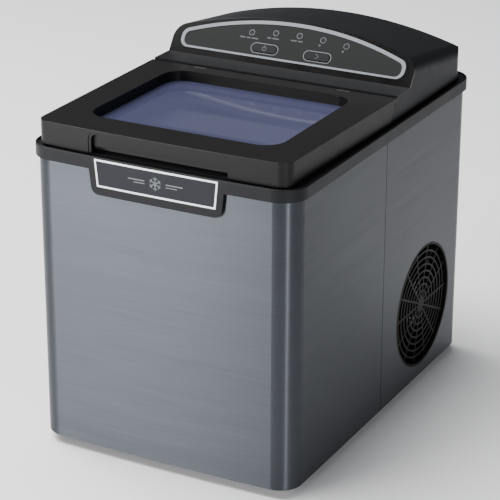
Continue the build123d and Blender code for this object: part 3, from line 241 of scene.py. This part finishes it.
def plated_metal(name, colour, roughness, mottle=0.08):
    """Plated or rolled metal with faint blotches and handling marks."""
    material, wire = start_material(name)
    blotch = noise(wire, 60.0, detail=4.0, roughness=0.6)
    fine = noise(wire, 900.0, detail=2.0)
    colour_wire = mix_colours(wire, blotch, scaled(colour, 1.0 - mottle), scaled(colour, 1.0 + mottle))
    return close_material(
        material,
        wire,
        {
            "Base Color": colour_wire,
            "Metallic": 1.0,
            "Roughness": roughness + (blotch - 0.5) * 0.16,
            "Normal": bump(wire, fine, FINE_GRAIN, 0.3),
        },
    )


def soft_rubber(name, colour, roughness=0.7):
    material, wire = start_material(name)
    dust = noise(wire, 120.0, detail=5.0, roughness=0.65)
    pores = noise(wire, 2200.0, detail=1.0)
    colour_wire = mix_colours(wire, dust, scaled(colour, 0.85), scaled(colour, 1.25))
    return close_material(
        material,
        wire,
        {
            "Base Color": colour_wire,
            "Roughness": roughness + (dust - 0.5) * 0.2,
            "Normal": bump(wire, pores, 0.00003, 0.6),
        },
    )


def rigid_foam(name, colour):
    material, wire = start_material(name)
    cells = wire.node(
        "ShaderNodeTexVoronoi", None, {"Vector": place_on_piece(wire), "Scale": 420.0}
    )
    lumps = noise(wire, 30.0, detail=4.0)
    colour_wire = mix_colours(wire, lumps, scaled(colour, 0.82), scaled(colour, 1.08))
    return close_material(
        material,
        wire,
        {
            "Base Color": colour_wire,
            "Roughness": 0.85 + (lumps - 0.5) * 0.1,
            "Normal": bump(wire, cells, 0.0002, 0.6),
        },
    )


def tinted_window(name, colour, alpha):
    """Clear tinted plastic, a little milky, with faint moulding waves."""
    material, wire = start_material(name)
    haze = noise(wire, 9.0, detail=2.0)
    waves = noise(wire, 40.0, detail=1.0)
    colour_wire = mix_colours(wire, haze, scaled(colour, 0.85), scaled(colour, 1.15))
    return close_material(
        material,
        wire,
        {
            "Base Color": colour_wire,
            "Roughness": 0.04 + waves * 0.03,
            "Alpha": alpha + (haze - 0.5) * 0.1,
            "Normal": bump(wire, waves, 0.00004, 0.3),
        },
    )


def assign(material, *names):
    for name in names:
        NODES[name].data.materials.clear()
        NODES[name].data.materials.append(material)


# ---------------------------------------------------------------- studio
def aim(thing, target):
    direction = Vector(target) - thing.location
    thing.rotation_euler = direction.to_track_quat("-Z", "Y").to_euler()


def make_camera():
    back = Vector((
        math.sin(CAMERA_AZIMUTH) * math.cos(CAMERA_ELEVATION),
        -math.cos(CAMERA_AZIMUTH) * math.cos(CAMERA_ELEVATION),
        math.sin(CAMERA_ELEVATION),
    ))
    camera_data = bpy.data.cameras.new("camera")
    camera_data.lens = CAMERA_LENS
    camera_data.sensor_width = CAMERA_SENSOR
    camera = bpy.data.objects.new("camera", camera_data)
    bpy.context.scene.collection.objects.link(camera)
    camera.location = CAMERA_TARGET + back * CAMERA_DISTANCE
    turn = (-back).to_track_quat("-Z", "Y").to_matrix()
    camera.rotation_euler = (turn @ Matrix.Rotation(CAMERA_ROLL, 3, "Z")).to_euler()
    bpy.context.scene.camera = camera


def soft_light(name, place, target, width, height, power):
    data = bpy.data.lights.new(name, "AREA")
    data.shape = "RECTANGLE"
    data.size = width
    data.size_y = height
    data.energy = power
    light = bpy.data.objects.new(name, data)
    bpy.context.scene.collection.objects.link(light)
    light.location = place
    aim(light, target)


def make_sky():
    world = bpy.data.worlds.new("studio")
    world.use_nodes = True
    background = world.node_tree.nodes["Background"]
    background.inputs["Color"].default_value = SKY_COLOUR
    background.inputs["Strength"].default_value = SKY_STRENGTH
    bpy.context.scene.world = world


def make_floor():
    bpy.ops.object.select_all(action="DESELECT")
    bpy.ops.mesh.primitive_plane_add(size=FLOOR_SIZE, location=(0.0, 0.0, 0.0))
    floor = bpy.context.object
    floor.name = "floor"
    material, wire = start_material("floor_paint")
    cloud = noise(wire, 1.2, detail=2.0)
    floor.data.materials.append(
        close_material(
            material,
            wire,
            {
                "Base Color": mix_colours(wire, cloud, tone(232, 233, 234), tone(240, 240, 241)),
                "Roughness": 0.8 + (cloud - 0.5) * 0.1,
            },
        )
    )


def make_lights():
    """A softbox low at the front, one overhead, and a strip that lights the right corner."""
    soft_light("low_front_softbox", (-0.98, -1.72, 0.42), (0.0, 0.0, 0.2), 0.9, 0.8, 44.0)
    soft_light("overhead_softbox", (-1.1, -0.2, 2.5), (0.0, 0.0, 0.0), 2.0, 2.8, 200.0)
    soft_light("right_strip", (1.38, -1.16, 0.45), (0.0, 0.0, 0.2), 0.1, 0.9, 14.0)


make_camera()
make_sky()
make_floor()
make_lights()

# ---------------------------------------------------------------- materials on the CAD pieces
BRUSHED = brushed_metal("brushed_steel", (0.058, 0.0625, 0.072, 1.0), 0.40)
SATIN_BLACK = moulded_plastic("satin_black_plastic", (0.0055, 0.0057, 0.0068, 1.0), 0.46)
LID_BLACK = moulded_plastic("lid_black_plastic", (0.0048, 0.0045, 0.0048, 1.0), 0.40)
GLOSS_BLACK = moulded_plastic(
    "gloss_black_plastic", (0.0016, 0.0016, 0.0018, 1.0), 0.22, 900.0, GLOSS_GRAIN
)
GRILLE_BLACK = moulded_plastic("grille_black_plastic", (0.0012, 0.0012, 0.0012, 1.0), 0.6)
MATTE_BLACK = moulded_plastic("matte_black_plastic", (0.02, 0.02, 0.021, 1.0), 0.55)
PANEL_GREY = moulded_plastic("panel_grey_film", tone(11, 12, 13), 0.5, 1200.0, 0.000004)
RING_SILVER = moulded_plastic("ring_silver_paint", tone(120, 124, 128), 0.4, 1500.0, 0.000003)
BUTTON_BLACK = moulded_plastic("button_black_film", tone(12, 14, 15), 0.4)
LENS = moulded_plastic("smoked_lens", tone(26, 29, 30), 0.3)
BADGE_GREY = moulded_plastic("badge_grey_plate", tone(28, 29, 35), 0.5, 2200.0)
BRIGHT = plated_metal("bright_trim", (0.72, 0.73, 0.75, 1.0), 0.25)
ZINC = plated_metal("zinc_plate", (0.55, 0.55, 0.56, 1.0), 0.32)
NICKEL = plated_metal("nickel_plate", (0.62, 0.61, 0.58, 1.0), 0.2)
COPPER = plated_metal("drawn_copper", (0.72, 0.38, 0.24, 1.0), 0.28, 0.14)
ALUMINIUM = plated_metal("rolled_aluminium", (0.7, 0.71, 0.72, 1.0), 0.35)
ENAMEL = moulded_plastic("black_enamel", (0.012, 0.012, 0.012, 1.0), 0.3, 600.0, 0.00003)
WHITE = moulded_plastic("white_plastic", (0.55, 0.57, 0.62, 1.0), 0.35)
CLEAR_GREY = moulded_plastic("clear_grey_plastic", (0.40, 0.43, 0.52, 1.0), 0.25)
RUBBER = soft_rubber("black_rubber", (0.018, 0.018, 0.018, 1.0))
SILICONE = soft_rubber("silicone_hose", (0.5, 0.51, 0.53, 1.0), 0.45)
FOAM = rigid_foam("rigid_foam", (0.8, 0.74, 0.56, 1.0))
BOARD = moulded_plastic("solder_mask", (0.02, 0.16, 0.07, 1.0), 0.25)
WINDOW = tinted_window("tinted_window", (0.055, 0.058, 0.115, 1.0), 0.6)

assign(BRUSHED, "front_wrap", "rear_wrap")
assign(SATIN_BLACK, "top_collar", "control_housing")
assign(LID_BLACK, "lid_frame")
assign(GLOSS_BLACK, "control_fascia")
assign(GRILLE_BLACK, "fan_grille", "fan_frame", "fan_rotor")
assign(MATTE_BLACK, "base_tray", "mains_inlet", "drain_cap", "drain_spout")
assign(MATTE_BLACK, "tray_motor", "water_pump", "level_sensor", "ice_sensors")
assign(PANEL_GREY, "control_panel")
assign(RING_SILVER, "panel_ring")
assign(BUTTON_BLACK, "power_button", "select_button")
assign(LENS, "indicator_lenses")
assign(BADGE_GREY, "badge_plate")
assign(BRIGHT, "badge_frame", "fan_label")
assign(ZINC, "fan_screws", "foot_screws", "rear_screws", "hinge_pins")
assign(NICKEL, "freezing_rods", "evaporator_plate")
assign(COPPER, "condenser_tube", "discharge_line", "suction_line", "filter_drier")
assign(ALUMINIUM, "condenser_fins")
assign(ENAMEL, "compressor")
assign(WHITE, "tub", "freezer_frame", "window_retainer", "water_tray", "ice_chute")
assign(CLEAR_GREY, "ice_basket")
assign(RUBBER, "rubber_feet", "compressor_grommets", "lid_gasket")
assign(SILICONE, "drain_hose", "fill_hose")
assign(FOAM, "foam_insulation")
assign(BOARD, "control_board")
assign(WINDOW, "lid_window")

# ---------------------------------------------------------------- printed marks on the panel
ACROSS = Vector((1.0, 0.0, 0.0))
PANEL_NORMAL = -Vector(JOINTS["power_press"]["axis"]).normalized()
UP_SLOPE = PANEL_NORMAL.cross(ACROSS)


def along(node, direction):
    """Lowest and highest place of a node's points along a direction."""
    places = [vertex.co.dot(direction) for vertex in NODES[node].data.vertices]
    return min(places), max(places)


def panel_place(across, up, face):
    """A frame on the sloping panel: X across, Y up the slope, Z out of it."""
    turn = Matrix((ACROSS, UP_SLOPE, PANEL_NORMAL)).transposed().to_4x4()
    origin = ACROSS * across + UP_SLOPE * up + PANEL_NORMAL * face
    return Matrix.Translation(origin) @ turn


def front_place(across, height, face):
    """A frame on an upright front face: X across, Y up, Z towards the front."""
    turn = Matrix.Rotation(math.radians(90.0), 4, "X")
    return Matrix.Translation((across, face, height)) @ turn


def settle(piece, name, place, material, body="cabinet"):
    """Put a print modelled flat at the origin in its place, and finish it."""
    piece.name = name
    piece.data.name = name
    piece.data.transform(place)
    piece.data.materials.append(material)
    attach(piece, body)


def edit_all(piece):
    bpy.ops.object.select_all(action="DESELECT")
    piece.select_set(True)
    bpy.context.view_layer.objects.active = piece
    bpy.ops.object.mode_set(mode="EDIT")
    bpy.ops.mesh.select_all(action="SELECT")


def raise_print(piece):
    """Give a flat shape the thickness of screen print, and close it."""
    edit_all(piece)
    bpy.ops.mesh.extrude_region_move(
        TRANSFORM_OT_translate={"value": (0.0, 0.0, PRINT_THICKNESS)}
    )
    bpy.ops.mesh.select_all(action="SELECT")
    bpy.ops.mesh.normals_make_consistent(inside=False)
    bpy.ops.object.mode_set(mode="OBJECT")
    return piece


def pull_apart(piece, distance):
    """Draw a disc's two halves apart, so that it becomes a stadium."""
    for vertex in piece.data.vertices:
        vertex.co.x += math.copysign(distance / 2, vertex.co.x)


def flat_outline(length, width, line):
    """A stadium-shaped line: a disc pulled apart, inset, and its middle taken out."""
    bpy.ops.object.select_all(action="DESELECT")
    bpy.ops.mesh.primitive_circle_add(vertices=DISC_POINTS, radius=width / 2, fill_type="NGON")
    piece = bpy.context.object
    pull_apart(piece, length - width)
    edit_all(piece)
    bpy.ops.mesh.inset(thickness=line, depth=0.0)
    bpy.ops.mesh.delete(type="FACE")
    bpy.ops.object.mode_set(mode="OBJECT")
    return raise_print(piece)


def flat_bar(length, width):
    """A short bar with round ends."""
    bpy.ops.object.select_all(action="DESELECT")
    bpy.ops.mesh.primitive_circle_add(vertices=BAR_POINTS, radius=width / 2, fill_type="NGON")
    piece = bpy.context.object
    pull_apart(piece, length - width)
    return raise_print(piece)


def join(pieces):
    bpy.ops.object.select_all(action="DESELECT")
    for piece in pieces:
        piece.select_set(True)
    bpy.context.view_layer.objects.active = pieces[0]
    bpy.ops.object.join()
    return pieces[0]


def moved(piece, x=0.0, y=0.0, turn=0.0):
    piece.data.transform(Matrix.Translation((x, y, 0.0)) @ Matrix.Rotation(turn, 4, "Z"))
    return piece


def lens_centres():
    """Middle of each indicator lens, from left to right, as (across, up the slope)."""
    groups = []
    for vertex in sorted(NODES["indicator_lenses"].data.vertices, key=lambda v: v.co.x):
        if not groups or vertex.co.x - groups[-1][-1].x > LENS_SPACING:
            groups.append([])
        groups[-1].append(vertex.co.copy())
    centres = []
    for group in groups:
        ups = [point.dot(UP_SLOPE) for point in group]
        acrosses = [point.x for point in group]
        centres.append(((min(acrosses) + max(acrosses)) / 2, (min(ups) + max(ups)) / 2))
    return centres


def make_caption(lengths):
    """A row of bars in place of a lamp's words, centred on the origin."""
    height = CAPTION_HEIGHT if len(lengths) > 1 else CAPTION_DOT
    start = -(sum(lengths) + CAPTION_GAP * (len(lengths) - 1)) / 2
    bars = []
    for length in lengths:
        bar = flat_bar(length * MM, min(height, length) * MM)
        bars.append(moved(bar, (start + length / 2) * MM))
        start += length + CAPTION_GAP
    return join(bars)


def make_panel_print():
    face = along("control_panel", PANEL_NORMAL)[1]
    for index, (across, up) in enumerate(lens_centres()):
        number = index + 1
        ring = flat_outline(LAMP_RING_SIZE, LAMP_RING_SIZE, LAMP_RING_LINE)
        settle(ring, "lamp_ring_%d" % number, panel_place(across, up, face), PRINT_WHITE)
        lengths = CAPTION_BARS[index]
        shift = CAPTION_SHIFT if len(lengths) > 1 else CAPTION_DOT_SHIFT
        place = panel_place(across + shift, up - CAPTION_DROP, face)
        settle(make_caption(lengths), "lamp_mark_%d" % number, place, PRINT_GREY)


def button_centre(node):
    low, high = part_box(node)
    middle = (low + high) / 2
    return middle.x, sum(along(node, UP_SLOPE)) / 2


def make_button_print(node, marks):
    across, up = button_centre(node)
    panel_face = along("control_panel", PANEL_NORMAL)[1]
    button_face = along(node, PANEL_NORMAL)[1]
    outline = flat_outline(BUTTON_OUTLINE_LENGTH, BUTTON_OUTLINE_WIDTH, BUTTON_OUTLINE_LINE)
    settle(outline, node + "_outline", panel_place(across, up, panel_face), PRINT_WHITE)
    settle(join(marks), node + "_mark", panel_place(across, up, button_face), PRINT_GREY, node)


def power_marks():
    ring = flat_outline(POWER_RING, POWER_RING, MARK_LINE)
    stroke = flat_bar(POWER_STROKE, MARK_LINE)
    return [ring, moved(stroke, 0.0, POWER_STROKE_RISE, math.radians(90))]


def arrow_marks():
    marks = []
    for side in (1, -1):
        stroke = flat_bar(ARROW_STROKE, MARK_LINE)
        marks.append(moved(stroke, ARROW_SHIFT, side * ARROW_SPREAD, -side * ARROW_TURN))
    return marks


def snowflake():
    """Three bars crossed, with a pair of barbs near each of the six ends."""
    arms = []
    for step in range(3):
        arms.append(moved(flat_bar(FLAKE_ARM, FLAKE_LINE), turn=math.radians(90 + 60 * step)))
    for step in range(6):
        angle = math.radians(90 + 60 * step)
        for side in (-1, 1):
            barb = moved(flat_bar(BARB_LENGTH, BARB_LINE), BARB_SHIFT, 0.0)
            barb.data.transform(Matrix.Rotation(math.radians(BARB_TURN * side), 4, "Z"))
            barb.data.transform(Matrix.Translation((BARB_REACH, 0.0, 0.0)))
            barb.data.transform(Matrix.Rotation(angle, 4, "Z"))
            arms.append(barb)
    return arms


def make_badge_print():
    low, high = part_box("badge_plate")
    marks = snowflake()
    for side in (-1, 1):
        for length, line, across, up in BADGE_BARS:
            bar = flat_bar(length * MM, line * MM)
            marks.append(moved(bar, side * across * MM, up * MM))
    place = front_place(0.0, (low.z + high.z) / 2, low.y - PRINT_STAND_OFF)
    settle(join(marks), "badge_snowflake", place, PRINT_WHITE)


PRINT_WHITE = moulded_plastic(
    "printed_light_grey", tone(112, 116, 118), 0.5, 1800.0, GLOSS_GRAIN
)
PRINT_GREY = moulded_plastic("printed_mid_grey", tone(76, 80, 82), 0.5, 1800.0, GLOSS_GRAIN)
make_panel_print()
make_button_print("power_button", power_marks())
make_button_print("select_button", arrow_marks())
make_badge_print()
